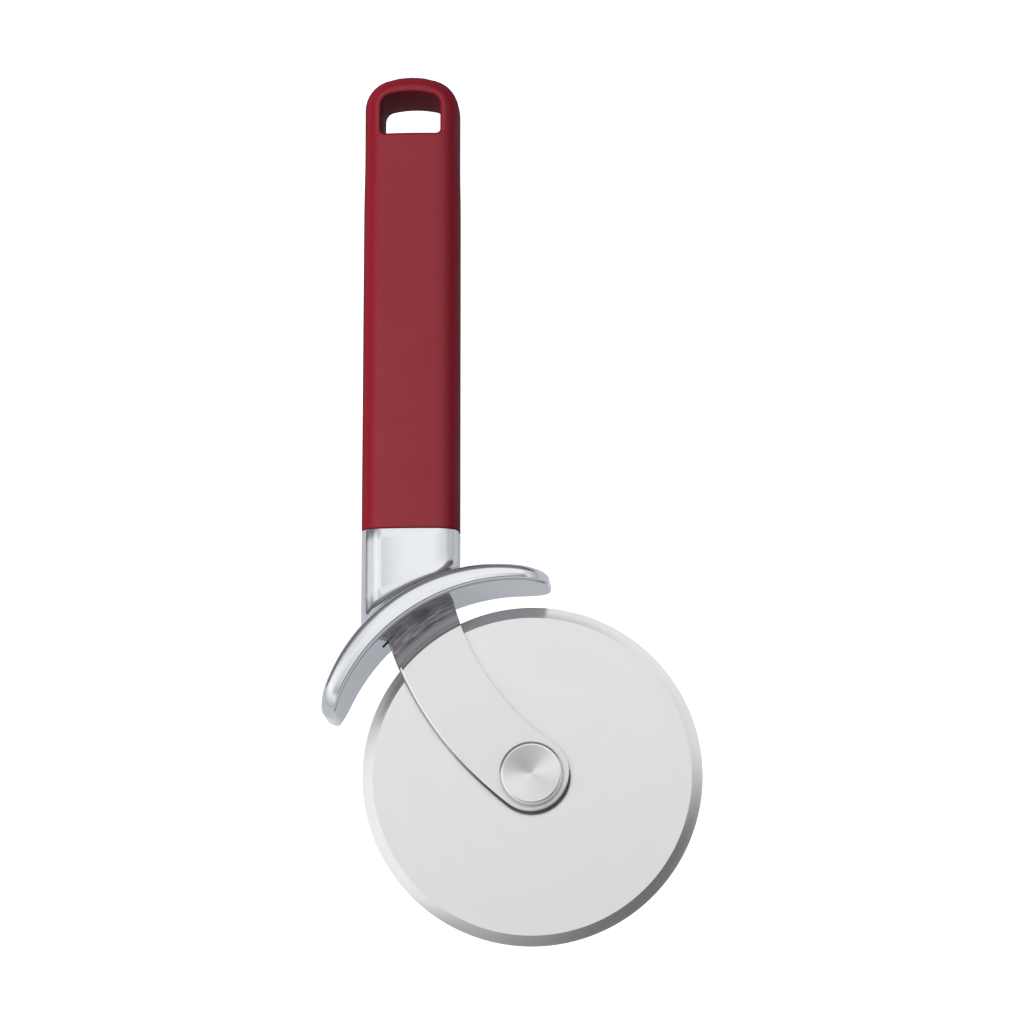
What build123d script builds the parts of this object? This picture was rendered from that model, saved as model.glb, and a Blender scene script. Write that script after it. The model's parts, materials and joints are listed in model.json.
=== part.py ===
from build123d import *
import math
import os

# Pizza cutter wheel, in millimetres. While it is built, the wheel's axis is the Z axis through
# zero, the handle points along +Y and the middle plane of the wheel and handle is Z = 0.
# The finished pieces are then moved together, so that the origin lies under the middle of the
# tool, on the surface that it rests on.

# Wheel blade
wheel_radius = 45.0
blade_thickness = 1.2
bevel_width = 3.0
cutting_edge_thickness = 0.16

# Axle, bush and washers
sleeve_radius = 3.5
sleeve_wall = 1.0
bush_wall = 3.2
bush_flange_overhang = 1.8
bush_flange_thickness = 0.45
washer_thickness = 0.4
washer_width = 2.6
running_clearance = 0.05
rivet_clearance = 0.03
rivet_head_overhang = 2.0
rivet_head_height = 1.2

# Caps over the rivet heads
cap_radius = 8.35
cap_height = 3.0
cap_chamfer = 0.9
cap_recess_clearance = 0.03

# Fork arms
arm_thickness = 1.6
arm_end_radius = 10.2
arm_joggle_gap = 0.2
arm_joggle_run = 3.3
arm_bend_radius = 1.2
arm_left_offset = 10.9
arm_right_offset = 9.1
arm_left_straight_height = 65.2
arm_right_straight_height = 63.5
arm_shoulder_depth = 12.0
tang_width = 13.0
tang_length = 72.0

# Guard
guard_centre_x = -3.1
guard_centre_y = -0.5
guard_rim_gap = 5.8
guard_left_angle = 163.4
guard_right_angle = 80.9
guard_left_thickness = 4.3
guard_middle_thickness = 6.0
guard_right_thickness = 3.0
guard_depth = 31.0
guard_tip_depth = 28.0
guard_flat_width = 24.0
guard_edge_radius = 0.9
guard_left_corner_radius = 2.8
guard_right_corner_radius = 1.7
guard_inner_corner_radius = 1.15

# Ferrule and its spigot, cast in one with the guard
ferrule_joint_height = 65.05
ferrule_wall = 2.2
ferrule_pocket_depth = 8.5
ferrule_fillet_radius = 4.0
slot_clearance = 0.12
slot_mouth_margin = 1.3
slot_mouth_depth = 1.6
spigot_width = 17.4
spigot_depth = 10.0
spigot_corner_radius = 2.4
spigot_length = 16.0

# Handle
handle_offset = 32.16
handle_width = 26.35
handle_top_width = 25.6
handle_depth = 20.0
handle_length = 125.5
front_crown = 0.8
side_crown = 0.5
section_corner_radius = 5.6
dome_radius = 50.0
dome_corner_radius = 8.4
dome_edge_radius = 4.0
grip_bond_gap = 0.05
core_fit_clearance = 0.15

# Hanging hole
hang_hole_width = 16.0
hang_hole_height = 11.55
hang_hole_top_wall = 5.15
hang_hole_arch_rise = 1.5
hang_hole_top_corner_radius = 2.4
hang_hole_bottom_corner_radius = 1.2
hang_hole_lip_radius = 0.9
core_to_hole_wall = 5.5

# Rivets and pins across the tang
tang_rivet_radius = 2.0
tang_rivet_from_end = 5.5
tang_rivet_spacing = 32.0
core_pin_radius = 1.5
core_pin_spacing = 14.0
spigot_pin_radius = 1.5
spigot_pin_from_end = 5.5
pin_clearance = 0.02
pin_set_back = 0.1

# Cuts run this far past the faces that they open
overrun = 5.0

# Radii worked out from the axle outwards
rivet_radius = sleeve_radius - sleeve_wall - rivet_clearance
bush_bore_radius = sleeve_radius + running_clearance
bush_radius = bush_bore_radius + bush_wall
bush_flange_radius = bush_radius + bush_flange_overhang
washer_radius = bush_bore_radius + washer_width
rivet_head_radius = rivet_radius + rivet_head_overhang

# Heights of the faces above the middle plane at the hub
blade_face = blade_thickness / 2
bush_face = blade_face + bush_flange_thickness
washer_low = bush_face + running_clearance
arm_inner_face = washer_low + washer_thickness + running_clearance
arm_outer_face = arm_inner_face + arm_thickness
rivet_head_face = arm_outer_face + rivet_head_height

# Heights along the handle
spigot_top = ferrule_joint_height + spigot_length
pocket_floor = ferrule_joint_height - ferrule_pocket_depth
arm_shoulder = ferrule_joint_height - arm_shoulder_depth
tang_top = arm_shoulder + tang_length
handle_top = ferrule_joint_height + handle_length
hang_hole_top = handle_top - hang_hole_top_wall
hang_hole_bottom = hang_hole_top - hang_hole_height
core_top = hang_hole_bottom - core_to_hole_wall
spigot_pin_height = spigot_top - spigot_pin_from_end
upper_rivet_height = tang_top - tang_rivet_from_end
lower_rivet_height = upper_rivet_height - tang_rivet_spacing
core_pin_middle = (upper_rivet_height + lower_rivet_height) / 2
axis_x = -handle_offset

# Guard's circles
guard_inner_radius = wheel_radius + guard_rim_gap
guard_middle_angle = (guard_left_angle + guard_right_angle) / 2


def turned(points):
    """A solid turned about the wheel's axis from (radius, height) points."""
    outline = Polyline([(radius, 0, height) for radius, height in points], close=True)
    return revolve(make_face(outline), Axis.Z)


def turned_ring(inner_radius, outer_radius, low, high):
    """A plain ring about the wheel's axis."""
    return turned([(inner_radius, low), (outer_radius, low), (outer_radius, high), (inner_radius, high)])


def arc_about(centre, start, end):
    """The short arc from start to end about a centre."""
    middle = (start - centre) + (end - centre)
    radius = (start - centre).length
    return ThreePointArc(start, centre + middle.normalized() * radius, end)


def cross_plane(height):
    """The plane across the handle at a height along it, centred on the handle's axis."""
    return Plane(origin=(axis_x, height, 0), x_dir=(1, 0, 0), z_dir=(0, 1, 0))


def pin_across(height, radius, half_length):
    """A pin on the handle's axis at a height along it, running from back to front."""
    return Pos(axis_x, height, 0) * Cylinder(radius, 2 * half_length)


def wheel_blade():
    """Steel disc with a bevel ground on both faces down to the cutting edge."""
    bevel_start = wheel_radius - bevel_width
    edge = cutting_edge_thickness / 2
    return turned([
        (bush_radius, -blade_face), (bevel_start, -blade_face), (wheel_radius, -edge),
        (wheel_radius, edge), (bevel_start, blade_face), (bush_radius, blade_face),
    ])


def wheel_bush():
    """Flanged plastic bush held in the blade's centre hole, which turns on the sleeve."""
    return turned([
        (bush_bore_radius, -bush_face), (bush_flange_radius, -bush_face),
        (bush_flange_radius, -blade_face), (bush_radius, -blade_face),
        (bush_radius, blade_face), (bush_flange_radius, blade_face),
        (bush_flange_radius, bush_face), (bush_bore_radius, bush_face),
    ])


def axle_sleeve():
    """Steel tube that keeps the arms apart and carries the bush."""
    return turned_ring(sleeve_radius - sleeve_wall, sleeve_radius, -arm_inner_face, arm_inner_face)


def axle_rivet():
    """Rivet through the arms and the sleeve, with a flat head at each end."""
    return turned([
        (0, -rivet_head_face), (rivet_head_radius, -rivet_head_face),
        (rivet_head_radius, -arm_outer_face), (rivet_radius, -arm_outer_face),
        (rivet_radius, arm_outer_face), (rivet_head_radius, arm_outer_face),
        (rivet_head_radius, rivet_head_face), (0, rivet_head_face),
    ])


def front_washer():
    """Thin washer between the bush and the front arm."""
    return turned_ring(bush_bore_radius, washer_radius, washer_low, washer_low + washer_thickness)


def front_cap():
    """Turned cap with a chamfered rim, pressed over the rivet's front head."""
    top = arm_outer_face + cap_height
    recess_radius = rivet_head_radius + cap_recess_clearance
    recess_top = rivet_head_face + cap_recess_clearance
    return turned([
        (recess_radius, arm_outer_face), (cap_radius, arm_outer_face),
        (cap_radius, top - cap_chamfer), (cap_radius - cap_chamfer, top),
        (0, top), (0, recess_top), (recess_radius, recess_top),
    ])


def edge_arc_radius(straight_offset, straight_height, end_radius):
    """Radius of an arm's edge, which leaves the straight part without a corner and touches the
    round end. The offset is from the wheel's axis to the straight part, and the end radius is
    negative for the edge that curves round the end."""
    square_sum = straight_offset ** 2 + straight_height ** 2 - end_radius ** 2
    return square_sum / (2 * (straight_offset + end_radius))


def arm_band(left_margin, right_margin):
    """Front outline of the curved arm from its round end up to the straight part."""
    left_x = axis_x - arm_left_offset
    right_x = axis_x + arm_right_offset
    left_radius = edge_arc_radius(-left_x, arm_left_straight_height, -arm_end_radius)
    right_radius = edge_arc_radius(-right_x, arm_right_straight_height, arm_end_radius)
    left_centre = Vector(left_x + left_radius, arm_left_straight_height)
    right_centre = Vector(right_x + right_radius, arm_right_straight_height)
    left_radius += left_margin
    right_radius -= right_margin
    left_touch = left_centre - left_centre.normalized() * left_radius
    right_touch = right_centre - right_centre.normalized() * right_radius
    left_top = left_centre - Vector(left_radius, 0)
    right_top = right_centre - Vector(right_radius, 0)
    across = right_touch - left_touch
    end_point = Vector(across.Y, -across.X).normalized() * across.length / 2
    end_point += (left_touch + right_touch) / 2
    lines = [
        arc_about(left_centre, left_touch, left_top),
        Line(left_top, right_top),
        arc_about(right_centre, right_top, right_touch),
        ThreePointArc(right_touch, end_point, left_touch),
    ]
    return make_face(lines)


def arm_outline(left_margin, right_margin, tang_margin):
    """Front outline of a whole arm: curved band, shoulder and narrow tang."""
    shoulder = arm_shoulder + tang_margin
    reach = wheel_radius + handle_offset
    below_shoulder = Pos(axis_x, shoulder - reach) * Rectangle(2 * reach, 2 * reach)
    tang_low = arm_shoulder - overrun
    tang_high = tang_top + tang_margin
    tang = Pos(axis_x, (tang_low + tang_high) / 2) * Rectangle(
        tang_width + 2 * tang_margin, tang_high - tang_low)
    return (arm_band(left_margin, right_margin) & below_shoulder) + tang


def arm_plate():
    """Stepped plate that an arm is cut from: it lies on the middle plane outside the wheel's rim
    and clears the blade inside it, with a bend that follows the rim."""
    rise = arm_inner_face
    bend_angle = math.atan2(rise, arm_joggle_run)
    bend_shift = arm_thickness * math.tan(bend_angle / 2)
    upper_start = wheel_radius + arm_joggle_gap
    upper_end = upper_start + arm_joggle_run
    reach = 2 * tang_top
    outline = Polyline(
        [
            (0, 0, arm_inner_face), (upper_start - bend_shift, 0, arm_inner_face),
            (upper_end - bend_shift, 0, 0), (reach, 0, 0), (reach, 0, arm_thickness),
            (upper_end, 0, arm_thickness), (upper_start, 0, arm_outer_face),
            (0, 0, arm_outer_face),
        ],
        close=True,
    )
    section = make_face(outline)
    bends = [v for v in section.vertices() if 0 < v.X < reach]
    return revolve(fillet(bends, arm_bend_radius), Axis.Z)


def front_arm():
    """Front fork arm with its tang, stamped from one sheet."""
    outline = arm_outline(0, 0, 0)
    blank = extrude(outline, amount=arm_outer_face + overrun, both=True)
    arm = blank & arm_plate()
    arm -= Cylinder(rivet_radius + rivet_clearance, 4 * arm_outer_face)
    for height in (lower_rivet_height, upper_rivet_height):
        arm -= pin_across(height, tang_rivet_radius + pin_clearance, arm_outer_face)
    for height in core_pin_heights():
        arm -= pin_across(height, core_pin_radius + pin_clearance, arm_outer_face)
    arm -= pin_across(spigot_pin_height, spigot_pin_radius + pin_clearance, arm_outer_face)
    return arm


def core_pin_heights():
    """Heights of the two pins that hold the handle's core on the tang."""
    return [core_pin_middle - core_pin_spacing / 2, core_pin_middle + core_pin_spacing / 2]


def tang_rivets():
    """Two flush rivets that join the two arms along the tang."""
    lower = pin_across(lower_rivet_height, tang_rivet_radius, arm_thickness)
    return lower + pin_across(upper_rivet_height, tang_rivet_radius, arm_thickness)


def spigot_pin():
    """Pin that holds both arms in the casting, covered by the handle's core."""
    return pin_across(spigot_pin_height, spigot_pin_radius, spigot_depth / 2)


def core_pins():
    """Two pins through the handle's core and the tang, covered by the grip."""
    half_length = handle_depth / 2 - ferrule_wall - core_fit_clearance - pin_set_back
    lower, upper = core_pin_heights()
    pins = pin_across(lower, core_pin_radius, half_length)
    return pins + pin_across(upper, core_pin_radius, half_length)


def handle_section(height, width, inset):
    """Cross-section of the handle and ferrule: a rectangle with crowned sides and round corners,
    drawn inside the outer surface by the inset."""
    half_width = width / 2 - inset
    half_depth = handle_depth / 2 - inset
    corner_x = half_width - side_crown
    corner_y = half_depth - front_crown
    lines = [
        ThreePointArc((-corner_x, corner_y), (0, half_depth), (corner_x, corner_y)),
        ThreePointArc((corner_x, corner_y), (half_width, 0), (corner_x, -corner_y)),
        ThreePointArc((corner_x, -corner_y), (0, -half_depth), (-corner_x, -corner_y)),
        ThreePointArc((-corner_x, -corner_y), (-half_width, 0), (-corner_x, corner_y)),
    ]
    section = make_face(lines)
    return cross_plane(height) * fillet(section.vertices(), section_corner_radius - inset)


def handle_prism(low, high, inset):
    """Straight length of the ferrule's section between two heights."""
    return extrude(handle_section(low, handle_width, inset), amount=high - low)


def spigot_prism(low, high, margin):
    """The spigot's section between two heights, grown by a margin."""
    section = RectangleRounded(
        spigot_width + 2 * margin, spigot_depth + 2 * margin, spigot_corner_radius + margin)
    return extrude(cross_plane(low) * section, amount=high - low)


def guard_point(angle, radius):
    """A point of the guard's front outline, in degrees and millimetres about its centre."""
    turn = math.radians(angle)
    return Vector(guard_centre_x + radius * math.cos(turn), guard_centre_y + radius * math.sin(turn))


def guard_outline():
    """Front outline of the guard: a crescent that follows the wheel's rim."""
    corners = [
        (guard_left_angle, guard_left_thickness),
        (guard_middle_angle, guard_middle_thickness),
        (guard_right_angle, guard_right_thickness),
    ]
    inner = [guard_point(angle, guard_inner_radius) for angle, thickness in corners]
    outer = [guard_point(angle, guard_inner_radius + thickness) for angle, thickness in corners]
    face = make_face([
        ThreePointArc(*inner),
        Line(inner[2], outer[2]),
        ThreePointArc(*reversed(outer)),
        Line(outer[0], inner[0]),
    ])
    radii = [
        (outer[0], guard_left_corner_radius), (outer[2], guard_right_corner_radius),
        (inner[0], guard_inner_corner_radius), (inner[2], guard_inner_corner_radius),
    ]
    for corner, radius in radii:
        nearest = min(face.vertices(), key=lambda vertex: (Vector(vertex) - corner).length)
        face = fillet(nearest, radius)
    return face


def guard_plan():
    """Plan of the guard, seen along the handle: flat across the ferrule, then curved in towards
    both tips. Its corners lie past the tips."""
    left_corner = guard_point(guard_left_angle, guard_inner_radius + guard_left_thickness)
    right_corner = guard_point(guard_right_angle, guard_inner_radius + guard_right_thickness)
    left = left_corner.X - axis_x - guard_edge_radius
    right = right_corner.X - axis_x + guard_edge_radius
    half = guard_depth / 2
    tip = guard_tip_depth / 2
    flat = guard_flat_width / 2
    lines = []
    for side in (1, -1):
        for reach in (left, right):
            start = math.copysign(flat, reach)
            run = reach - start
            drop = half - tip
            bow = Vector(start + run / 2, side * (half - drop / 4))
            lines.append(ThreePointArc((start, side * half), bow, (reach, side * tip)))
        lines.append(Line((-flat, side * half), (flat, side * half)))
    lines.append(Line((left, tip), (left, -tip)))
    lines.append(Line((right, tip), (right, -tip)))
    return make_face(lines)


def guard():
    """The curved guard bar with its edges rounded."""
    low = guard_centre_y - guard_inner_radius
    high = guard_centre_y + guard_inner_radius + guard_middle_thickness + overrun
    bar = extrude(guard_outline(), amount=guard_depth, both=True)
    bar &= extrude(cross_plane(low) * guard_plan(), amount=high - low)
    rim_edges = [
        edge for edge in bar.edges()
        if abs(edge.center().Z) > guard_tip_depth / 4 and edge.geom_type != GeomType.LINE
    ]
    return fillet(rim_edges, guard_edge_radius)


def ferrule_guard():
    """One casting: guard, ferrule and the spigot that the handle sits on. A slot for the arms
    runs through it from the guard's underside."""
    bar = guard()
    ring = handle_prism(guard_centre_y, ferrule_joint_height, 0)
    underside = Pos(guard_centre_x, guard_centre_y) * Cylinder(
        guard_inner_radius + guard_edge_radius, 2 * guard_depth)
    ring -= underside
    casting = bar + ring
    joint_edges = new_edges(bar, ring, combined=casting)
    casting = fillet(joint_edges, ferrule_fillet_radius)
    casting -= handle_prism(pocket_floor, ferrule_joint_height + overrun, ferrule_wall)
    casting += spigot_prism(pocket_floor - overrun, spigot_top, 0)
    slot = extrude(
        arm_outline(slot_clearance, slot_clearance, slot_clearance),
        amount=arm_thickness + slot_clearance, both=True)
    mouth_band = Pos(guard_centre_x, guard_centre_y) * Circle(guard_inner_radius + slot_mouth_depth)
    mouth = arm_band(slot_mouth_margin, slot_clearance) & mouth_band
    slot += extrude(mouth, amount=arm_thickness + slot_clearance, both=True)
    casting -= slot
    casting -= pin_across(spigot_pin_height, spigot_pin_radius + pin_clearance, spigot_depth)
    return casting


def handle_core():
    """Stiff plastic core: its skirt plugs into the ferrule round the spigot, and it is slotted
    for the spigot and the tang."""
    skirt_inset = ferrule_wall + core_fit_clearance
    core = handle_prism(pocket_floor + core_fit_clearance, core_top, skirt_inset)
    core -= spigot_prism(
        pocket_floor - overrun, spigot_top + core_fit_clearance, core_fit_clearance)
    slot_top = tang_top + core_fit_clearance
    slot_low = spigot_top - overrun
    slot = Box(
        tang_width + 2 * core_fit_clearance, slot_top - slot_low,
        2 * (arm_thickness + core_fit_clearance))
    core -= Pos(axis_x, (slot_top + slot_low) / 2, 0) * slot
    for height in core_pin_heights():
        core -= pin_across(height, core_pin_radius + pin_clearance, handle_depth)
    return core


def dome_outline():
    """Front outline of the handle, with its domed top."""
    half_low = handle_width / 2
    half_high = handle_top_width / 2
    dome_drop = dome_radius - math.sqrt(dome_radius ** 2 - half_high ** 2)
    shoulder = handle_top - dome_drop
    face = make_face([
        Line((axis_x - half_low, ferrule_joint_height), (axis_x - half_high, shoulder)),
        ThreePointArc(
            (axis_x - half_high, shoulder), (axis_x, handle_top), (axis_x + half_high, shoulder)),
        Line((axis_x + half_high, shoulder), (axis_x + half_low, ferrule_joint_height)),
        Line((axis_x + half_low, ferrule_joint_height), (axis_x - half_low, ferrule_joint_height)),
    ])
    top_corners = face.vertices().group_by(Axis.Y)[-1]
    return fillet(top_corners, dome_corner_radius)


def side_outline():
    """Side outline of the handle, with the front and back edges of its top rounded."""
    length = handle_top - ferrule_joint_height
    face = Rectangle(length, handle_depth, align=(Align.MIN, Align.CENTER))
    top_corners = face.vertices().group_by(Axis.X)[-1]
    rounded = fillet(top_corners, dome_edge_radius)
    side_plane = Plane(
        origin=(axis_x - handle_width, ferrule_joint_height, 0), x_dir=(0, 1, 0), z_dir=(1, 0, 0))
    return side_plane * rounded


def hang_hole_outline():
    """Front outline of the hanging hole: flat below, arched above like the handle's end."""
    half = hang_hole_width / 2
    spring = hang_hole_top - hang_hole_arch_rise
    face = make_face([
        Line((axis_x - half, hang_hole_bottom), (axis_x - half, spring)),
        ThreePointArc((axis_x - half, spring), (axis_x, hang_hole_top), (axis_x + half, spring)),
        Line((axis_x + half, spring), (axis_x + half, hang_hole_bottom)),
        Line((axis_x + half, hang_hole_bottom), (axis_x - half, hang_hole_bottom)),
    ])
    rows = face.vertices().group_by(Axis.Y)
    face = fillet(rows[-1], hang_hole_top_corner_radius)
    low_corners = face.vertices().group_by(Axis.Y)[0]
    return fillet(low_corners, hang_hole_bottom_corner_radius)


def handle_grip():
    """Soft grip moulded over the core, closed at the top and pierced by the hanging hole."""
    grip = handle_prism(ferrule_joint_height, handle_top, 0)
    grip &= extrude(dome_outline(), amount=handle_depth, both=True)
    grip &= extrude(side_outline(), amount=2 * handle_width)
    hole = extrude(hang_hole_outline(), amount=handle_depth, both=True)
    pierced = grip - hole
    lip = new_edges(grip, hole, combined=pierced)
    lip_edges = [edge for edge in lip if abs(edge.center().Z) > handle_depth / 4]
    grip = fillet(lip_edges, hang_hole_lip_radius)
    core_inset = ferrule_wall + core_fit_clearance - grip_bond_gap
    grip -= handle_prism(ferrule_joint_height - overrun, core_top + grip_bond_gap, core_inset)
    return grip


def build():
    """All pieces by name, in the wheel's own frame."""
    pieces = {
        "wheel_blade": wheel_blade(),
        "wheel_bush": wheel_bush(),
        "axle_sleeve": axle_sleeve(),
        "axle_rivet": axle_rivet(),
        "front_washer": front_washer(),
        "front_cap": front_cap(),
        "front_arm": front_arm(),
        "tang_rivets": tang_rivets(),
        "ferrule_guard": ferrule_guard(),
        "spigot_pin": spigot_pin(),
        "handle_core": handle_core(),
        "core_pins": core_pins(),
        "handle_grip": handle_grip(),
    }
    for name in ("washer", "cap", "arm"):
        pieces[f"rear_{name}"] = mirror(pieces[f"front_{name}"], about=Plane.XY)
    return pieces


def origin_shift(pieces):
    """The move that puts the origin under the middle of the tool, on the plane that it rests on."""
    boxes = [piece.bounding_box() for piece in pieces.values()]
    middle_x = (min(box.min.X for box in boxes) + max(box.max.X for box in boxes)) / 2
    middle_y = (min(box.min.Y for box in boxes) + max(box.max.Y for box in boxes)) / 2
    return Pos(-middle_x, -middle_y, guard_depth / 2)


os.makedirs("parts", exist_ok=True)
pieces = build()
shift = origin_shift(pieces)
print("origin shift", [round(value, 4) for value in shift.position])
for name, piece in pieces.items():
    export_step(shift * piece, f"parts/{name}.step")
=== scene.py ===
import json
import math

import bmesh
import bpy
from mathutils import Matrix, Vector


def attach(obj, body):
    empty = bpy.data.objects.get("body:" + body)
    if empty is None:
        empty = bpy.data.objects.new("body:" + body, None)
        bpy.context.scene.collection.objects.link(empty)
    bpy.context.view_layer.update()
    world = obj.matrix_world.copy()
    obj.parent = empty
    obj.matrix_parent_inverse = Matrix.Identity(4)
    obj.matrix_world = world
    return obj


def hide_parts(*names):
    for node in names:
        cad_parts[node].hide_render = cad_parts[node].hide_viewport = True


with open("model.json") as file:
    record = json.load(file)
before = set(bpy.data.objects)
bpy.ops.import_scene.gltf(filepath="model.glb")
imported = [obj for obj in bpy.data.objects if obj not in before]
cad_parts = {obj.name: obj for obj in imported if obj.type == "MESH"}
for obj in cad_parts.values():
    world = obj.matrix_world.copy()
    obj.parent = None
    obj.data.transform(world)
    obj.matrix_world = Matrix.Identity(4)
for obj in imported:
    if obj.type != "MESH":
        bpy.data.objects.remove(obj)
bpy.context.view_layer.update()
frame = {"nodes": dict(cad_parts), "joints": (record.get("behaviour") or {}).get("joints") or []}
cad_nodes = frame["nodes"]
wheel_centre = Vector(frame["joints"][0]["pos_m"])


# Studio. The tool lies on its back on a white table, under a broad white ceiling that is greyer
# down by the horizon. The ceiling has a dark opening over the wheel, where the camera stands,
# and a dark far side. One broad key light stands high on the left.

camera_place = Vector((0.0530418, -0.2019210, 1.0649565))
camera_aim = Vector((-0.0001216, -0.0018050, 0.0155000))
camera_back = (camera_place - camera_aim).normalized()
camera_right = Vector((0, 1, 0)).cross(camera_back).normalized()
camera_up = camera_back.cross(camera_right)
camera_data = bpy.data.cameras.new("camera")
camera_data.lens = 140.625
camera_data.sensor_width = 36
camera = bpy.data.objects.new("camera", camera_data)
camera.matrix_world = Matrix.Translation(camera_place) @ Matrix(
    (camera_right, camera_up, camera_back)).transposed().to_4x4()
bpy.context.scene.collection.objects.link(camera)
bpy.context.scene.camera = camera
bpy.context.scene.view_settings.view_transform = "Standard"

horizon_level = 0.7
ceiling_level = 1.295
# Each patch leans along X and Y and has an inner and an outer radius, all in degrees. Its last
# number is how much darker it is, or lighter where that is negative.
ceiling_patches = (
    (11, -23, 25, 34, 0.5), (20, -19, 6, 22, 0.6), (29, 0, 2, 12, 0.34), (-1, -22, 3, 11, 0.32),
    (12, 31, 6, 16, -0.05), (-12.5, 10.5, 0.5, 4.5, 0.22), (2, 10, 2, 10, -0.08),
    (-27, 23, 4, 12, 0.35), (-32, -2, 8, 20, -0.15))
ceiling_rise = (0.05, 0.8)
right_side = (0.3, 0.6)
right_side_shade = 0.14
near_side = (-0.5, -0.75)
near_side_shade = 0.06
far_side = (0.59, 0.75)
far_side_shade = 0.74
far_side_bend = 0.33
far_side_slant = -0.19
matte_shade = 0.84


def wire(source, target):
    """Joins an output to an input, or gives the input a plain value."""
    if isinstance(source, bpy.types.NodeSocket):
        source.id_data.links.new(source, target)
    else:
        target.default_value = source


def maths(operation, first, second=0.0):
    """A maths node on two outputs, or an output and a number, and its result."""
    output = first if isinstance(first, bpy.types.NodeSocket) else second
    node = output.id_data.nodes.new("ShaderNodeMath")
    node.operation = operation
    wire(first, node.inputs[0])
    wire(second, node.inputs[1])
    return node.outputs[0]


def eased(value, low, high, at_low=0.0, at_high=1.0):
    """A value eased from one level to another while the input goes from low to high."""
    node = value.id_data.nodes.new("ShaderNodeMapRange")
    node.interpolation_type = "SMOOTHSTEP"
    wire(value, node.inputs["Value"])
    for label, number in zip(("From Min", "From Max", "To Min", "To Max"),
                             (low, high, at_low, at_high)):
        wire(number, node.inputs[label])
    return node.outputs["Result"]


def ceiling_patch(direction, *degrees):
    """A round patch of the ceiling, 1 inside and 0 outside, from its two leans and two radii."""
    lean_x, lean_y, inner, outer = map(math.radians, degrees)
    node = direction.id_data.nodes.new("ShaderNodeVectorMath")
    node.operation = "DOT_PRODUCT"
    wire(direction, node.inputs[0])
    node.inputs[1].default_value = Vector((math.tan(lean_x), math.tan(lean_y), 1)).normalized()
    return eased(node.outputs["Value"], math.cos(outer), math.cos(inner))


def shaded(level, mask, share):
    """A level made darker by a share where a mask is 1, or lighter by a negative share."""
    return maths("MULTIPLY", level, maths("SUBTRACT", 1.0, maths("MULTIPLY", mask, share)))


studio = bpy.data.worlds.new("studio_light")
bpy.context.scene.world = studio
studio.use_nodes = True
sky = studio.node_tree
direction = sky.nodes.new("ShaderNodeTexCoord").outputs["Generated"]
sky_axes = sky.nodes.new("ShaderNodeSeparateXYZ")
wire(direction, sky_axes.inputs[0])
sky_x, sky_y, sky_z = sky_axes.outputs
level = eased(sky_z, *ceiling_rise, horizon_level, ceiling_level)
for *patch, share in ceiling_patches:
    level = shaded(level, ceiling_patch(direction, *patch), share)
level = shaded(level, eased(sky_x, *right_side), right_side_shade)
level = shaded(level, eased(sky_y, *near_side), near_side_shade)
bent_back = maths("ADD", maths("MULTIPLY", maths("ABSOLUTE", sky_x), far_side_bend),
                  maths("MULTIPLY", sky_x, far_side_slant))
level = shaded(level, eased(maths("ADD", sky_y, bent_back), *far_side), far_side_shade)
sky_ray = sky.nodes.new("ShaderNodeLightPath")
level = shaded(level, sky_ray.outputs["Is Diffuse Ray"], matte_shade)
backdrop = sky.nodes["Background"]
wire(maths("ADD", level, sky_ray.outputs["Is Camera Ray"]), backdrop.inputs["Strength"])
backdrop.inputs["Color"].default_value = (1.0, 1.0, 1.0, 1)

key_data = bpy.data.lights.new("key_light", "SUN")
key_data.energy = 2.2
key_data.angle = math.radians(50)
key_way = Vector((-0.50, 0.14, 0.86))
key_light = bpy.data.objects.new("key_light", key_data)
key_light.matrix_world = key_way.to_track_quat("Z", "Y").to_matrix().to_4x4()
key_light.visible_glossy = False
bpy.context.scene.collection.objects.link(key_light)

table_half_width = 1.6
table_glow = 0.43
table_glow_seen = 1.2
table_mesh = bmesh.new()
bmesh.ops.create_grid(table_mesh, x_segments=1, y_segments=1, size=table_half_width)
table_data = bpy.data.meshes.new("table")
table_mesh.to_mesh(table_data)
table_mesh.free()
table = bpy.data.objects.new("table", table_data)
bpy.context.scene.collection.objects.link(table)
table_finish = bpy.data.materials.new("white_table")
table_finish.use_nodes = True
table_shader = table_finish.node_tree.nodes["Principled BSDF"]
table_shader.inputs["Base Color"].default_value = (0.5, 0.5, 0.5, 1)
table_shader.inputs["Roughness"].default_value = 0.9
table_shader.inputs["Specular IOR Level"].default_value = 0.1
table_shader.inputs["Emission Color"].default_value = (0.9, 0.95, 1, 1)
seen = table_finish.node_tree.nodes.new("ShaderNodeLightPath").outputs["Is Camera Ray"]
wire(eased(seen, 0.0, 1.0, table_glow, table_glow_seen), table_shader.inputs["Emission Strength"])
table_data.materials.append(table_finish)


# Handle grip. A dark red soft-touch plastic moulded over the core in one shot, closed at the top,
# with a hanging hole through the end. It butts against the ferrule, and its skin is finely
# grained. Sizes are in millimetres, and places are measured from the wheel's centre.

handle_axis_x = -32.34
joint_height = 65.05
grip_top = 190.45
grip_half_depth = 10.0
front_crown = 0.8
side_crown = 0.5
section_radius = 5.6
grip_widths = ((65.0, 13.05), (121.0, 13.0), (152.0, 12.97), (167.0, 12.78), (200.0, 12.78))
dome_corner_radius = 8.1
dome_corner_drop = 0.78
dome_shoulder_angle = 73
dome_edge_radius = 4.6
hole_half_width = 8.0
hole_low = 173.85
hole_high = 185.4
hole_rise = 0.6
hole_low_corner = 1.2
hole_high_corner = 2.9
hole_lip = 0.95
grip_end_rows = ((65.4, 0.09), (65.2, 0.32), (65.09, 0.7), (65.07, 2.2), (168.3, 2.2))
skin_start = 0.8
skin_rows = 30
bend_from = 0.9
bend_length = 0.1
low_left_index = 29
lip_turns = (0, 15, 32, 50, 70, 90)
hole_wall_row = 4.0


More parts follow.
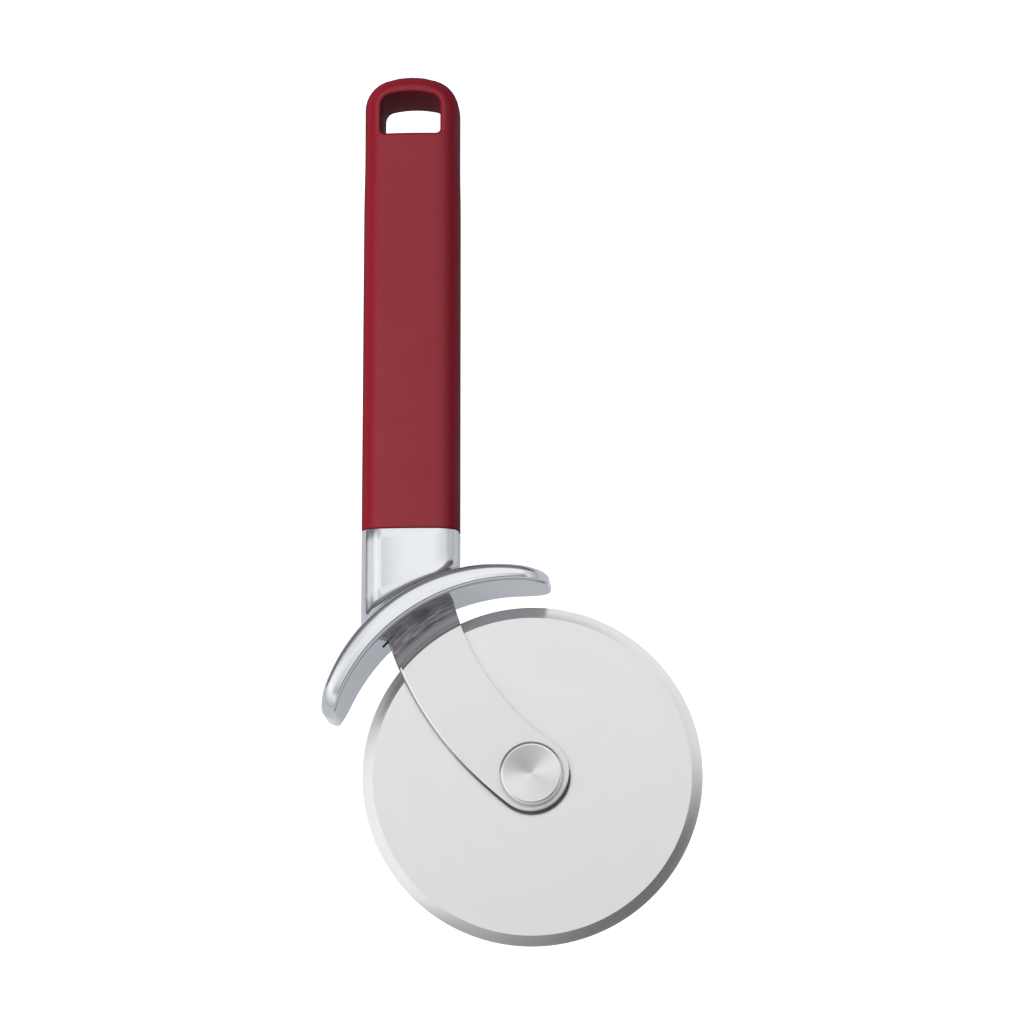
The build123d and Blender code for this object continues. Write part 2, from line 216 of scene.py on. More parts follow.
def piece(name, bm, sharp_angle):
    """An object from a mesh drawn in millimetres about the wheel's centre."""
    bmesh.ops.transform(bm, matrix=Matrix.Translation(wheel_centre) @ Matrix.Scale(0.001, 4),
                        verts=bm.verts)
    data = bpy.data.meshes.new(name)
    bm.to_mesh(data)
    bm.free()
    data.shade_smooth()
    data.set_sharp_from_angle(angle=math.radians(sharp_angle))
    made = bpy.data.objects.new(name, data)
    bpy.context.scene.collection.objects.link(made)
    return made


def eased_step(x):
    """A smooth step from 0 to 1 while x goes from 0 to 1."""
    x = min(max(x, 0.0), 1.0)
    return x * x * (3 - 2 * x)


def grip_half_width(height):
    """Half the grip's width at a height."""
    for (low, a), (high, b) in zip(grip_widths, grip_widths[1:]):
        if height <= high:
            return a + (b - a) * eased_step((height - low) / (high - low))
    return grip_widths[-1][1]


def dome_height(x):
    """Height of the domed end between its shoulders, at a distance from the handle's axis."""
    a = math.radians(dome_shoulder_angle)
    reach = grip_half_width(grip_top) - dome_corner_radius * (1 - math.cos(a))
    drop = dome_corner_drop + dome_corner_radius * (1 - math.sin(a))
    return grip_top - drop * (x / reach) ** 2


def rim_distance(x, height):
    """How far inside the grip's front outline a point lies, and the edge radius there."""
    half = grip_half_width(height)
    corner_x = half - dome_corner_radius
    corner_y = grip_top - dome_corner_drop - dome_corner_radius
    if height <= corner_y:
        return half - abs(x), section_radius
    turn = math.degrees(math.atan2(height - corner_y, abs(x) - corner_x))
    edge = section_radius + (dome_edge_radius - section_radius) * min(turn / 90, 1.0)
    if turn > dome_shoulder_angle:
        lean = math.atan(2 * (grip_top - dome_height(x)) / max(abs(x), 0.01))
        return (dome_height(x) - height) * math.cos(lean), edge
    return dome_corner_radius - math.hypot(abs(x) - corner_x, height - corner_y), edge


def grip_face(x, height):
    """Height of the grip's front face above its middle plane."""
    gap, edge = rim_distance(x, height)
    drop = front_crown * (x / grip_half_width(height)) ** 2
    if gap < edge:
        drop += edge - math.sqrt(max(edge ** 2 - (edge - max(gap, 0.0)) ** 2, 0.0))
    return grip_half_depth - drop


def arc_points(centre, radius, start, end, count):
    """Points of an arc in degrees, without its first one."""
    steps = [math.radians(start + (end - start) * k / count) for k in range(1, count + 1)]
    return [(centre[0] + radius * math.cos(a), centre[1] + radius * math.sin(a)) for a in steps]


def straight_points(start, end, count):
    """Points of a straight run, without its first one."""
    return [(start[0] + (end[0] - start[0]) * k / count, start[1] + (end[1] - start[1]) * k / count)
            for k in range(1, count + 1)]


def hole_ring(grow):
    """The hole's outline moved outwards: up the right side, over, down the left side and back
    along the bottom, from the middle of the low right corner."""
    half = hole_half_width + grow
    low = hole_low - grow
    high = hole_high + grow
    low_r = hole_low_corner + grow
    high_r = hole_high_corner + grow
    spring = high - hole_rise
    top_y = spring - high_r
    points = arc_points((half - low_r, low + low_r), low_r, -45, 0, 2)
    points += straight_points((half, low + low_r), (half, top_y), 5)
    points += arc_points((half - high_r, top_y), high_r, 0, 45, 2)
    points += arc_points((half - high_r, top_y), high_r, 45, 80, 2)
    start = points[-1]
    for k in range(1, 9):
        x = start[0] * (1 - k / 4)
        points.append((x, start[1] + (high - start[1]) * (1 - (x / start[0]) ** 2)))
    points += arc_points((-half + high_r, top_y), high_r, 100, 135, 2)
    points += arc_points((-half + high_r, top_y), high_r, 135, 180, 2)
    points += straight_points((-half, top_y), (-half, low + low_r), 5)
    points += arc_points((-half + low_r, low + low_r), low_r, 180, 270, 4)
    points += straight_points((-half + low_r, low), (half - low_r, low), 8)
    points += arc_points((half - low_r, low + low_r), low_r, -90, -45, 2)
    return points


def dome_ring():
    """The grip's outline beside and above the hole, with a point for each of the hole's."""
    low_height = hole_ring(hole_lip)[-1][1]
    half = grip_half_width(hole_high)
    centre_x = half - dome_corner_radius
    centre_y = grip_top - dome_corner_drop - dome_corner_radius
    shoulder = dome_shoulder_angle
    points = straight_points((half, low_height), (half, centre_y), 5)
    points += arc_points((centre_x, centre_y), dome_corner_radius, 0, shoulder, 8)
    start = points[-1][0]
    points += [(start * share, dome_height(start * share)) for share in (0.5, 0.0, -0.5, -1.0)]
    points += arc_points((-centre_x, centre_y), dome_corner_radius, 180 - shoulder, 180, 8)
    points += straight_points((-half, centre_y), (-half, low_height), 5)
    return points


def neighbours(chain, closed=True):
    """Each vertex of a chain with the next one."""
    return zip(chain, chain[1:] + chain[:1] if closed else chain[1:])


def pull_row(bm, edges, chain, row, closed=True):
    """Pulls a chain of edges to a new row of points, and gives the new edges and chain."""
    pulled = bmesh.ops.extrude_edge_only(bm, edges=edges)["geom"]
    fresh = {tuple(v.co): v for v in pulled if isinstance(v, bmesh.types.BMVert)}
    chain = [fresh[tuple(v.co)] for v in chain]
    for vert, point in zip(chain, row):
        vert.co = point
    return [bm.edges.get(pair) for pair in neighbours(chain, closed)], chain


def draw_rows(bm, rows, closed=False):
    """A skin through rows of points: the first row is drawn as edges and pulled to each next."""
    chain = [bm.verts.new(point) for point in rows[0]]
    edges = [bm.edges.new(pair) for pair in neighbours(chain, closed)]
    for row in rows[1:]:
        edges, chain = pull_row(bm, edges, chain, row, closed)


def across_rim(outer, inner):
    """One line over the grip's rim, from the middle plane round the edge to a point of the face."""
    shares = (0.0, 0.02, 0.07, 0.15, 0.26, 0.40, 0.56, 0.77, 1.0)
    rim_z = grip_face(*outer)
    line = []
    for share in (0.0, 0.5):
        z = rim_z * share
        bow = side_crown * (z / grip_half_depth) ** 2
        pull = 1 - bow / math.dist(outer, inner)
        line.append((inner[0] + (outer[0] - inner[0]) * pull,
                     inner[1] + (outer[1] - inner[1]) * pull, z))
    for share in shares:
        x = outer[0] + (inner[0] - outer[0]) * share
        y = outer[1] + (inner[1] - outer[1]) * share
        bow = side_crown * (rim_z / grip_half_depth) ** 2 * (1 - share) ** 2
        pull = bow / math.dist(outer, inner)
        line.append((x + (inner[0] - outer[0]) * pull, y + (inner[1] - outer[1]) * pull,
                     grip_face(x, y)))
    return line


grip_mesh = bmesh.new()
lip_ring = hole_ring(hole_lip)
low_right = lip_ring[-1]
low_left = lip_ring[low_left_index]
first_row = joint_height + skin_start
row_heights = [first_row + (low_right[1] - first_row) * k / skin_rows
               for k in range(skin_rows + 1)]
right_lines = [across_rim((grip_half_width(y), y), (low_right[0], y)) for y in row_heights]
top_lines = [across_rim(outer, inner) for outer, inner in zip(dome_ring(), lip_ring)]
left_lines = [across_rim((-grip_half_width(y), y), (-low_right[0], y)) for y in row_heights]
draw_rows(grip_mesh, right_lines + top_lines + left_lines[::-1][1:])
middle_rows = []
columns = lip_ring[low_left_index:]
for k, y in enumerate(row_heights):
    bend = eased_step((k / skin_rows - bend_from) / bend_length)
    row = []
    for column, (x, lip_y) in enumerate(columns):
        even_x = low_left[0] + (low_right[0] - low_left[0]) * column / (len(columns) - 1)
        px = even_x + (x - even_x) * bend
        py = y + (lip_y - low_right[1]) * bend
        row.append((px, py, grip_face(px, py)))
    middle_rows.append(row)
draw_rows(grip_mesh, middle_rows)
lip_rows = []
for turn in lip_turns:
    a = math.radians(turn)
    ring = hole_ring(hole_lip * (1 - math.sin(a)))
    lip_rows.append([(x, y, grip_face(lx, ly) - hole_lip * (1 - math.cos(a)))
                     for (x, y), (lx, ly) in zip(ring, lip_ring)])
lip_rows += [[(x, y, z) for x, y in hole_ring(0)] for z in (hole_wall_row, 0.0)]
draw_rows(grip_mesh, lip_rows, closed=True)
bmesh.ops.remove_doubles(grip_mesh, verts=grip_mesh.verts, dist=0.002)
bmesh.ops.mirror(grip_mesh, geom=grip_mesh.verts[:] + grip_mesh.edges[:] + grip_mesh.faces[:],
                 axis="Z", merge_dist=0.002)
end_edges = [e for e in grip_mesh.edges if e.is_boundary]
end_half_width = grip_half_width(joint_height)
pulled_in = 0.0
for height, pull in grip_end_rows:
    pulled = bmesh.ops.extrude_edge_only(grip_mesh, edges=end_edges)["geom"]
    end_edges = [e for e in pulled if isinstance(e, bmesh.types.BMEdge)
                 and all(v in pulled for v in e.verts)]
    across = (end_half_width - pull) / (end_half_width - pulled_in)
    deep = (grip_half_depth - pull) / (grip_half_depth - pulled_in)
    for vert in [v for v in pulled if isinstance(v, bmesh.types.BMVert)]:
        vert.co = (vert.co.x * across, height, vert.co.z * deep)
    pulled_in = pull
bmesh.ops.edgeloop_fill(grip_mesh, edges=end_edges)
bmesh.ops.recalc_face_normals(grip_mesh, faces=grip_mesh.faces)
bmesh.ops.translate(grip_mesh, vec=(handle_axis_x, 0, 0), verts=grip_mesh.verts)
grip = piece("grip_skin", grip_mesh, 50)


def paint(colour):
    """A colour with its opacity, from three numbers, or from one for a grey."""
    return (*colour, 1) if isinstance(colour, tuple) else (colour, colour, colour, 1)


def finish(name, colour, roughness, metal=0.0):
    """A material with its plain values set, its tree and its shader."""
    made = bpy.data.materials.new(name)
    made.use_nodes = True
    shader = made.node_tree.nodes["Principled BSDF"]
    shader.inputs["Base Color"].default_value = paint(colour)
    shader.inputs["Roughness"].default_value = roughness
    shader.inputs["Metallic"].default_value = metal
    return made, made.node_tree, shader


def effect(name, inputs, outputs):
    """An empty node group with number inputs and outputs, and their sockets inside it."""
    group = bpy.data.node_groups.new(name, "ShaderNodeTree")
    for label, value in inputs:
        socket = group.interface.new_socket(label, in_out="INPUT", socket_type="NodeSocketFloat")
        socket.default_value = value
    for label in outputs:
        group.interface.new_socket(label, in_out="OUTPUT", socket_type="NodeSocketFloat")
    given = group.nodes.new("NodeGroupInput").outputs
    return group, given, group.nodes.new("NodeGroupOutput").inputs


def use_effect(tree, group, **values):
    """Places a node group in a material with its own values, and gives its outputs."""
    node = tree.nodes.new("ShaderNodeGroup")
    node.node_tree = group
    for label, value in values.items():
        node.inputs[label.replace("_", " ")].default_value = value
    return node.outputs


def object_place(tree):
    """A point's place on the object, for a pattern."""
    return tree.nodes.new("ShaderNodeTexCoord").outputs["Object"]


def noise(place, scale, detail=2.0, roughness=0.5):
    """Soft noise, 0 to 1, at so many patches in a metre."""
    node = place.id_data.nodes.new("ShaderNodeTexNoise")
    wire(place, node.inputs["Vector"])
    wire(scale, node.inputs["Scale"])
    wire(detail, node.inputs["Detail"])
    wire(roughness, node.inputs["Roughness"])
    return node.outputs["Fac"]


def blend_colours(share, first, second):
    """A colour between two, by a share. Each is a colour, a grey or another blend."""
    node = share.id_data.nodes.new("ShaderNodeMix")
    node.data_type = "RGBA"
    wire(share, node.inputs["Factor"])
    for socket, colour in zip((node.inputs[6], node.inputs[7]), (first, second)):
        wire(colour if isinstance(colour, bpy.types.NodeSocket) else paint(colour), socket)
    return node.outputs[2]


def dress(shader, colour, roughness, height, depth):
    """Wires a shader's colour, roughness and relief, whose full depth is in metres."""
    wire(colour, shader.inputs["Base Color"])
    wire(roughness, shader.inputs["Roughness"])
    bump = height.id_data.nodes.new("ShaderNodeBump")
    bump.inputs["Strength"].default_value = 1.0
    bump.inputs["Distance"].default_value = depth
    wire(height, bump.inputs["Height"])
    wire(bump.outputs["Normal"], shader.inputs["Normal"])


moulded_grain, given, result = effect(
    "moulded_grain", (("Grain Scale", 2600.0), ("Cloud Scale", 60.0)), ("Grain", "Cloud"))
place = object_place(moulded_grain)
wire(noise(place, given["Grain Scale"], 3.0, 0.6), result["Grain"])
wire(eased(noise(place, given["Cloud Scale"], 4.0, 0.55), 0.3, 0.7), result["Cloud"])

grip_finish, grip_tree, grip_shader = finish("soft_touch_red", (0.333, 0.022, 0.0375), 0.45)
grain = use_effect(grip_tree, moulded_grain, Grain_Scale=2600.0, Cloud_Scale=55.0)
turned_away = grip_tree.nodes.new("ShaderNodeLayerWeight")
turned_away.inputs["Blend"].default_value = 0.5
facing = turned_away.outputs["Facing"]
# The red is greyed at the front as a painted sheen, and turns to a deeper red as the surface
# patches are the plastic's own uneven tone.
# turns away. The edges that turn furthest away go near black as painted shade. The cloud's
red = blend_colours(grain["Cloud"], (0.348, 0.047, 0.061), (0.368, 0.053, 0.069))
red_with_painted_sheen = blend_colours(eased(facing, 0.0, 0.3), red, (0.305, 0.013, 0.026))
red_with_painted_sheen_and_shade = blend_colours(eased(facing, 0.45, 0.95), red_with_painted_sheen, (0.09, 0.005, 0.01))
dress(grip_shader, red_with_painted_sheen_and_shade, eased(grain["Cloud"], 0.0, 1.0, 0.64, 0.72), grain["Grain"], 0.00006)
grip_shader.inputs["Specular IOR Level"].default_value = 0.1
grip.data.materials.append(grip_finish)
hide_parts("handle_grip")
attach(grip, "handle_assembly")


# Ferrule and finger guard. One zinc die casting, polished and satin chromed: a ferrule with the
# handle's section runs down into a curved guard that shields the fingers from the rim. The arms
# come out of a slot in the guard's hollow side.

guard_centre = (-3.1, -0.5)
guard_inner_radius = 50.8
guard_outer_centre = (-8.23, 6.02)
guard_outer_radius = 48.56
guard_left_angle = 163.2
guard_right_angle = 81.2
guard_half_depth = 15.45
guard_tip_half_depth = 14.0
guard_flat_half_length = 12.0
guard_end_corner = 8.0
guard_crease = 1.4
guard_crease_spread = 0.8
guard_low_crease = 1.2
low_crease_rows = ((0.0, 0.78), (0.0, 0.72), (0.09, 0.42), (0.36, 0.18), (1.0, 0.0))
guard_left_end_rounding = 2.5
guard_right_end_rounding = 1.6
guard_face_bow = 0.03
guard_plan_radius = 53.6
guard_columns = 66
guard_rows = 26
ferrule_columns = (14, 48)
ferrule_rows = (4, 22)
ferrule_half_width = 13.05
ferrule_fillet = 2.3
ferrule_front_fillet = 2.4
ferrule_corner_fillet = 2.5
ferrule_right_flare = 3.6
mouth_left_angle = 136.2
mouth_right_angle = 111.2
mouth_half_height = 1.74
mouth_depth = 1.8
mouth_columns = (22, 43)
mouth_rows = (12, 13, 14)
ferrule_end_edge = 0.12
ferrule_angle = 122.0
left_tip_reach = 7
right_tip_reach = 5
corner_steps = 6
fillet_steps = 5
wall_steps = 6
guard_smoothing = 60
rim_shares = (0.75, 0.5, 0.25)

middle_angle = (guard_left_angle + guard_right_angle) / 2
plan_half_length = guard_plan_radius * math.radians(guard_left_angle - guard_right_angle) / 2
ferrule_plan_x = guard_plan_radius * math.radians(middle_angle - ferrule_angle)


def guard_thickness(angle):
    """Thickness of the guard between its hollow side and its outer side."""
    a = math.radians(angle)
    off_x = guard_outer_centre[0] - guard_centre[0]
    off_y = guard_outer_centre[1] - guard_centre[1]
    along = off_x * math.cos(a) + off_y * math.sin(a)
    aside = off_x * math.sin(a) - off_y * math.cos(a)
    return along + math.sqrt(guard_outer_radius ** 2 - aside ** 2) - guard_inner_radius


def plan_angle(plan_x):
    """The angle about the guard's centre of a place along its plan."""
    return middle_angle - math.degrees(plan_x / guard_plan_radius)


def bend_guard(plan_x, depth, share, lift=0.0):
    """A place in the guard, from its length, depth and share of the thickness, bent to its arc."""
    angle = plan_angle(plan_x)
    radius = guard_inner_radius + share * guard_thickness(angle) + lift
    a = math.radians(angle)
    return Vector((guard_centre[0] + radius * math.cos(a),
                   guard_centre[1] + radius * math.sin(a), depth))


def guard_depth_at(plan_x):
    """Half the guard's depth: full behind the ferrule, less towards both tips."""
    reach = max(abs(plan_x - ferrule_plan_x) - guard_flat_half_length, 0.0)
    longest = plan_half_length + abs(ferrule_plan_x) - guard_flat_half_length
    return guard_half_depth - (guard_half_depth - guard_tip_half_depth) * (reach / longest) ** 2


def guard_rim(inset_at):
    """The guard's plan outline, one point for each border vertex of its grid, moved inwards.
    It starts at the left back corner and runs along the back, the right end, the front and
    the left end."""
    corner = guard_end_corner
    flat_end = plan_half_length - corner
    quarter = []
    for k in range(corner_steps + 1):
        a = math.radians(45 + 45 * k / corner_steps)
        quarter.append((flat_end + corner * math.cos(a), corner * math.sin(a) - corner))
    side_count = guard_columns - 2 * corner_steps
    side = [(x, guard_depth_at(x) + drop) for x, drop in quarter]
    start = side[-1][0]
    for k in range(1, side_count):
        x = start - 2 * start * k / side_count
        side.append((x, guard_depth_at(x)))
    side += [(-x, guard_depth_at(-x) + drop) for x, drop in quarter[::-1]]
    end_steps = corner_steps - 1
    end_count = guard_rows - 2 * end_steps
    end = []
    tip = guard_depth_at(plan_half_length)
    for k in range(1, end_steps + 1):
        a = math.radians(45 - 45 * k / end_steps)
        end.append((flat_end + corner * math.cos(a), tip - corner + corner * math.sin(a)))
    for k in range(1, end_count):
        end.append((plan_half_length, (tip - corner) * (1 - 2 * k / end_count)))
    end += [(x, -z) for x, z in end[end_steps - 1::-1]]
    outline = [(x, -z) for x, z in side[::-1]] + [(x, -z) for x, z in end]
    outline += side + [(-x, z) for x, z in end]
    moved = []
    for k, (x, z) in enumerate(outline):
        before_x, before_z = outline[k - 1]
        after_x, after_z = outline[(k + 1) % len(outline)]
        tangent = Vector((after_x - before_x, after_z - before_z)).normalized()
        inset = inset_at(x)
        moved.append((x - tangent.y * inset, z + tangent.x * inset))
    return moved


def tip_shares(plan_x):
    """How near a place is to the left tip and to the right tip, 0 to 1."""
    return (eased_step((-plan_x - plan_half_length + left_tip_reach) / left_tip_reach),
            eased_step((plan_x - plan_half_length + right_tip_reach) / right_tip_reach))


def outer_rounding(plan_x):
    """Edge radius of the outer side: small along the guard, large round both tips."""
    left, right = tip_shares(plan_x)
    return (guard_crease + left * (guard_left_end_rounding - guard_crease)
            + right * (guard_right_end_rounding - guard_crease))


def outer_drop(plan_x):
    """How far down the rim face the outer side's rounding reaches."""
    return outer_rounding(plan_x) + guard_crease_spread * (1 - max(tip_shares(plan_x)))


def border_verts(grid, low_i, high_i, low_j, high_j):
    """The grid's vertices around a block of columns and rows, from its low corner."""
    keys = [(i, low_j) for i in range(low_i, high_i)]
    keys += [(high_i, j) for j in range(low_j, high_j)]
    keys += [(i, high_j) for i in range(high_i, low_i, -1)]
    keys += [(low_i, j) for j in range(high_j, low_j, -1)]
    return [grid[key] for key in keys]


def guard_side(bm, rim):
    """A flat grid of the guard's plan, its border laid on the rim."""
    made = bmesh.ops.create_grid(bm, x_segments=guard_columns, y_segments=guard_rows, size=1.0)
    grid = {}
    for vert in made["verts"]:
        i = round((vert.co.x + 1) / 2 * guard_columns)
        j = round((vert.co.y + 1) / 2 * guard_rows)
        grid[i, j] = vert
    border = border_verts(grid, 0, guard_columns, 0, guard_rows)
    for vert, (x, z) in zip(border, rim):
        vert.co = (x, z, 0)
    left_back, right_back = grid[0, 0].co, grid[guard_columns, 0].co
    left_front, right_front = grid[0, guard_rows].co, grid[guard_columns, guard_rows].co
    for i in range(1, guard_columns):
        low, high = grid[i, 0].co, grid[i, guard_rows].co
        for j in range(1, guard_rows):
            left, right = grid[0, j].co, grid[guard_columns, j].co
            u, v = i / guard_columns, j / guard_rows
            corners = (left_back * (1 - u) * (1 - v) + right_back * u * (1 - v)
                       + left_front * (1 - u) * v + right_front * u * v)
            grid[i, j].co = low * (1 - v) + high * v + left * (1 - u) + right * u - corners
    return grid, border


def quarter_turned(point, quarters):
    """A point turned about the handle's axis by so many quarter turns."""
    for _ in range(quarters):
        point = (-point[1], point[0])
    return point


def handle_ring(columns, rows):
    """Points of the handle's section with their outward directions, from the middle of the left
    back corner along the back, the right side, the front and the left side."""
    corner = section_radius
    steps = 4
    points = []
    for side in range(4):
        if side % 2 == 0:
            count, half, reach, rise = columns, ferrule_half_width, grip_half_depth, front_crown
        else:
            count, half, reach, rise = rows, grip_half_depth, ferrule_half_width, side_crown
        flat = half - corner
        for k in range(count):
            if steps <= k <= count - steps:
                share = (k - steps) / (count - 2 * steps)
                along, out, way = flat * (2 * share - 1), reach, (0.0, 1.0)
            else:
                low = k < steps
                a = math.radians(-45 + 45 * k / steps if low else 45 * (k - count + steps) / steps)
                along = (-flat if low else flat) + corner * math.sin(a)
                out, way = reach - corner + corner * math.cos(a), (math.sin(a), math.cos(a))
            out -= rise * (along / half) ** 2
            lean = 2 * rise * along / half ** 2
            way = Vector((way[0] + lean * way[1], way[1])).normalized()
            points.append((quarter_turned((along, -out), side),
                           quarter_turned((way.x, -way.y), side)))
    return points


def plan_of(x):
    """Where along the guard's plan its outer side has this place across the tool."""
    low, high = -plan_half_length, plan_half_length
    for _ in range(40):
        middle = (low + high) / 2
        if bend_guard(middle, 0, 1).x < x:
            low = middle
        else:
            high = middle
    return (low + high) / 2


casting_mesh = bmesh.new()
outer_grid, outer_border = guard_side(casting_mesh, guard_rim(outer_rounding))
low_i, high_i = ferrule_columns
low_j, high_j = ferrule_rows
foot_ring = border_verts(outer_grid, low_i, high_i, low_j, high_j)
hidden = [outer_grid[i, j] for i in range(low_i + 1, high_i) for j in range(low_j + 1, high_j)]
bmesh.ops.delete(casting_mesh, geom=hidden, context="VERTS")
ferrule_lines = []
for (x, z), (way_x, way_z) in handle_ring(high_i - low_i, high_j - low_j):
    wall_x = handle_axis_x + x
    towards_left = 0.5 - x / ferrule_half_width / 2
    front_fillet = ferrule_front_fillet + ferrule_corner_fillet * towards_left ** 2
    fillet = ferrule_fillet + (front_fillet - ferrule_fillet) * way_z ** 2
    if way_x > 0 and way_z > 0:
        fillet += ferrule_right_flare * (2 * way_x * way_z) ** 2
    foot = bend_guard(plan_of(wall_x), z, 1)
    away = bend_guard(plan_of(wall_x + way_x * fillet), z + way_z * fillet, 1)
    step = (away - foot).normalized() * fillet
    start_x = plan_of(foot.x + step.x)
    start_z = z + step.z
    start = bend_guard(start_x, start_z, 1)
    head = Vector((wall_x, foot.y + fillet, z))
    line = [(start_x, start_z)]
    for k in range(1, fillet_steps + 1):
        t = k / fillet_steps
        line.append(start * (1 - t) ** 2 + foot * 2 * t * (1 - t) + head * t ** 2)
    wall_top = joint_height - ferrule_end_edge
    rise = wall_top - head.y
    for k in range(1, wall_steps + 1):
        line.append(Vector((wall_x, head.y + rise * k / wall_steps, z)))
    for turn in (30, 60, 90):
        a = math.radians(turn)
        pull = ferrule_end_edge * (1 - math.cos(a))
        up = ferrule_end_edge * math.sin(a)
        line.append(Vector((wall_x - way_x * pull, wall_top + up, z - way_z * pull)))
    ferrule_lines.append(line)
foot_places, *ring_rows = zip(*ferrule_lines)
for vert, (x, z) in zip(foot_ring, foot_places):
    vert.co = (x, z, 0)
held = set(foot_ring) | set(outer_border)
loose = [v for v in outer_grid.values() if v.is_valid and v not in held]
for _ in range(guard_smoothing):
    bmesh.ops.smooth_vert(casting_mesh, verts=loose, factor=0.5, use_axis_x=True, use_axis_y=True)
for vert in casting_mesh.verts:
    vert.co = bend_guard(vert.co.x, vert.co.y, 1)
chain = foot_ring
loop = [casting_mesh.edges.get(pair) for pair in neighbours(chain)]
for row in ring_rows:
    loop, chain = pull_row(casting_mesh, loop, chain, row)
bmesh.ops.edgeloop_fill(casting_mesh, edges=loop)

inner_mesh = bmesh.new()
inner_grid, _ = guard_side(inner_mesh, guard_rim(lambda x: guard_low_crease))
mouth_ends = dict(zip(mouth_columns, (mouth_left_angle, mouth_right_angle)))
mouth_verts = set()
for i in range(mouth_columns[0], mouth_columns[1] + 1):
    for j, z in zip(mouth_rows, (-mouth_half_height, 0, mouth_half_height)):
        vert = inner_grid[i, j]
        vert.co.y = z
        if i in mouth_ends:
            vert.co.x = guard_plan_radius * math.radians(middle_angle - mouth_ends[i])
        mouth_verts.add(vert)
for vert in inner_mesh.verts:
    vert.co = bend_guard(vert.co.x, vert.co.y, 0)
mouth_faces = [f for f in inner_mesh.faces if all(v in mouth_verts for v in f.verts)]
mouth = bmesh.ops.extrude_face_region(inner_mesh, geom=mouth_faces)["geom"]
bmesh.ops.delete(inner_mesh, geom=[f for f in mouth_faces if f.is_valid], context="FACES_ONLY")
for vert in [v for v in mouth if isinstance(v, bmesh.types.BMVert)]:
    outwards = Vector((vert.co.x - guard_centre[0], vert.co.y - guard_centre[1], 0)).normalized()
    vert.co += outwards * mouth_depth
inner_data = bpy.data.meshes.new("hollow_side")
inner_mesh.to_mesh(inner_data)
inner_mesh.free()
casting_mesh.from_mesh(inner_data)
bpy.data.meshes.remove(inner_data)

plan_places = [x for x, z in guard_rim(lambda x: 0.0)]
rim_rows = []
for turn in (18, 36, 54, 72, 90):
    a = math.radians(turn)
    share = 1 - math.sin(a)
    drop = 1 - math.cos(a)
    inset = guard_rim(lambda x: outer_rounding(x) * share)
    rim_rows.append([bend_guard(x, z, 1, -outer_drop(plan_x) * drop)
                     for (x, z), plan_x in zip(inset, plan_places)])
for share in rim_shares:
    bow = -guard_face_bow * 4 * share * (1 - share)
    row = []
    for (x, z), plan_x in zip(guard_rim(lambda x: bow), plan_places):
        high = guard_thickness(plan_angle(plan_x)) - outer_drop(plan_x)
        row.append(bend_guard(x, z, 0, guard_low_crease + (high - guard_low_crease) * share))
    rim_rows.append(row)
for share, lift in low_crease_rows:
    rim_rows.append([bend_guard(x, z, 0, guard_low_crease * lift)
                     for x, z in guard_rim(lambda x: guard_low_crease * share)])
chain = outer_border
loop = [casting_mesh.edges.get(pair) for pair in neighbours(chain)]
for row in rim_rows:
    loop, chain = pull_row(casting_mesh, loop, chain, row)
bmesh.ops.remove_doubles(casting_mesh, verts=casting_mesh.verts, dist=0.003)
bmesh.ops.recalc_face_normals(casting_mesh, faces=casting_mesh.faces)
casting = piece("guard_casting", casting_mesh, 60)


def mapped(place, turn=0.0, stretch=(1.0, 1.0, 1.0), shift=(0.0, 0.0, 0.0)):
    """A pattern's place, stretched, turned about the axle and shifted."""
    node = place.id_data.nodes.new("ShaderNodeMapping")
    node.inputs["Location"].default_value = shift
    node.inputs["Rotation"].default_value = (0, 0, turn)
    node.inputs["Scale"].default_value = stretch
    wire(place, node.inputs["Vector"])
    return node.outputs["Vector"]


polish_marks, given, result = effect(
    "polish_marks", (("Wave Scale", 120.0), ("Scratch Scale", 900.0)),
    ("Wave", "Scratch", "Smudge"))
place = object_place(polish_marks)
wire(noise(place, given["Wave Scale"]), result["Wave"])
scratch_place = mapped(place, 0.55, (0.12, 1.0, 1.0))
wire(noise(scratch_place, given["Scratch Scale"], 3.0, 0.65), result["Scratch"])
wire(eased(noise(place, 75.0, 4.0, 0.6), 0.35, 0.75), result["Smudge"])

casting_finish, casting_tree, casting_shader = finish(
    "satin_chrome", (0.62, 0.633, 0.66), 0.14, 1.0)
marks = use_effect(casting_tree, polish_marks, Wave_Scale=130.0, Scratch_Scale=1400.0)
uneven = maths("ADD", maths("MULTIPLY", marks["Wave"], 0.9),
               maths("MULTIPLY", marks["Scratch"], 0.02))
dress(casting_shader, blend_colours(marks["Smudge"], (0.608, 0.622, 0.65), (0.63, 0.643, 0.67)),
      eased(marks["Smudge"], 0.0, 1.0, 0.12, 0.19), uneven, 0.00006)
casting.data.materials.append(casting_finish)
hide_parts("ferrule_guard")
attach(casting, "handle_assembly")


# Arms. Two stamped strips of satin stainless steel, one each side of the wheel. Each is joggled
# inwards beyond the rim, where its steel is painted darker as shade and dark reflection over
# streaks along the rim, and is pinned into the casting's slot. The free end's edge is rounded
# over. The side walls are painted dark as shadow, and the lower edge has a painted highlight.

arm_edge = 1.1
low_side_share = 0.72
high_side_share = 0.06
high_side_way = (0.77, 0.64)
round_end_turns = (-175, 25)
round_end_fade = 50
round_end_swell = 0.25
round_end_radii = (9.0, 16.0)
cap_seat_radius = 8.6
flat_lean = 0.8
upright_lean = 0.2
shear_lean = 0.93
high_shear_lean = 0.12
upwards_lean = 0.1
highlight_lean = 0.1
highlight_start = 14
dark_zone_start = 44.05
joggle_end = 47.5


def round_end_share(turn, reach):
    """How far the arm's edge is rounded over: fully round its free end, and little elsewhere."""
    if reach > round_end_radii[1]:
        return 0.0
    first, last = round_end_turns
    return (eased_step((turn - first) / round_end_fade)
            * eased_step((last - turn) / round_end_fade))


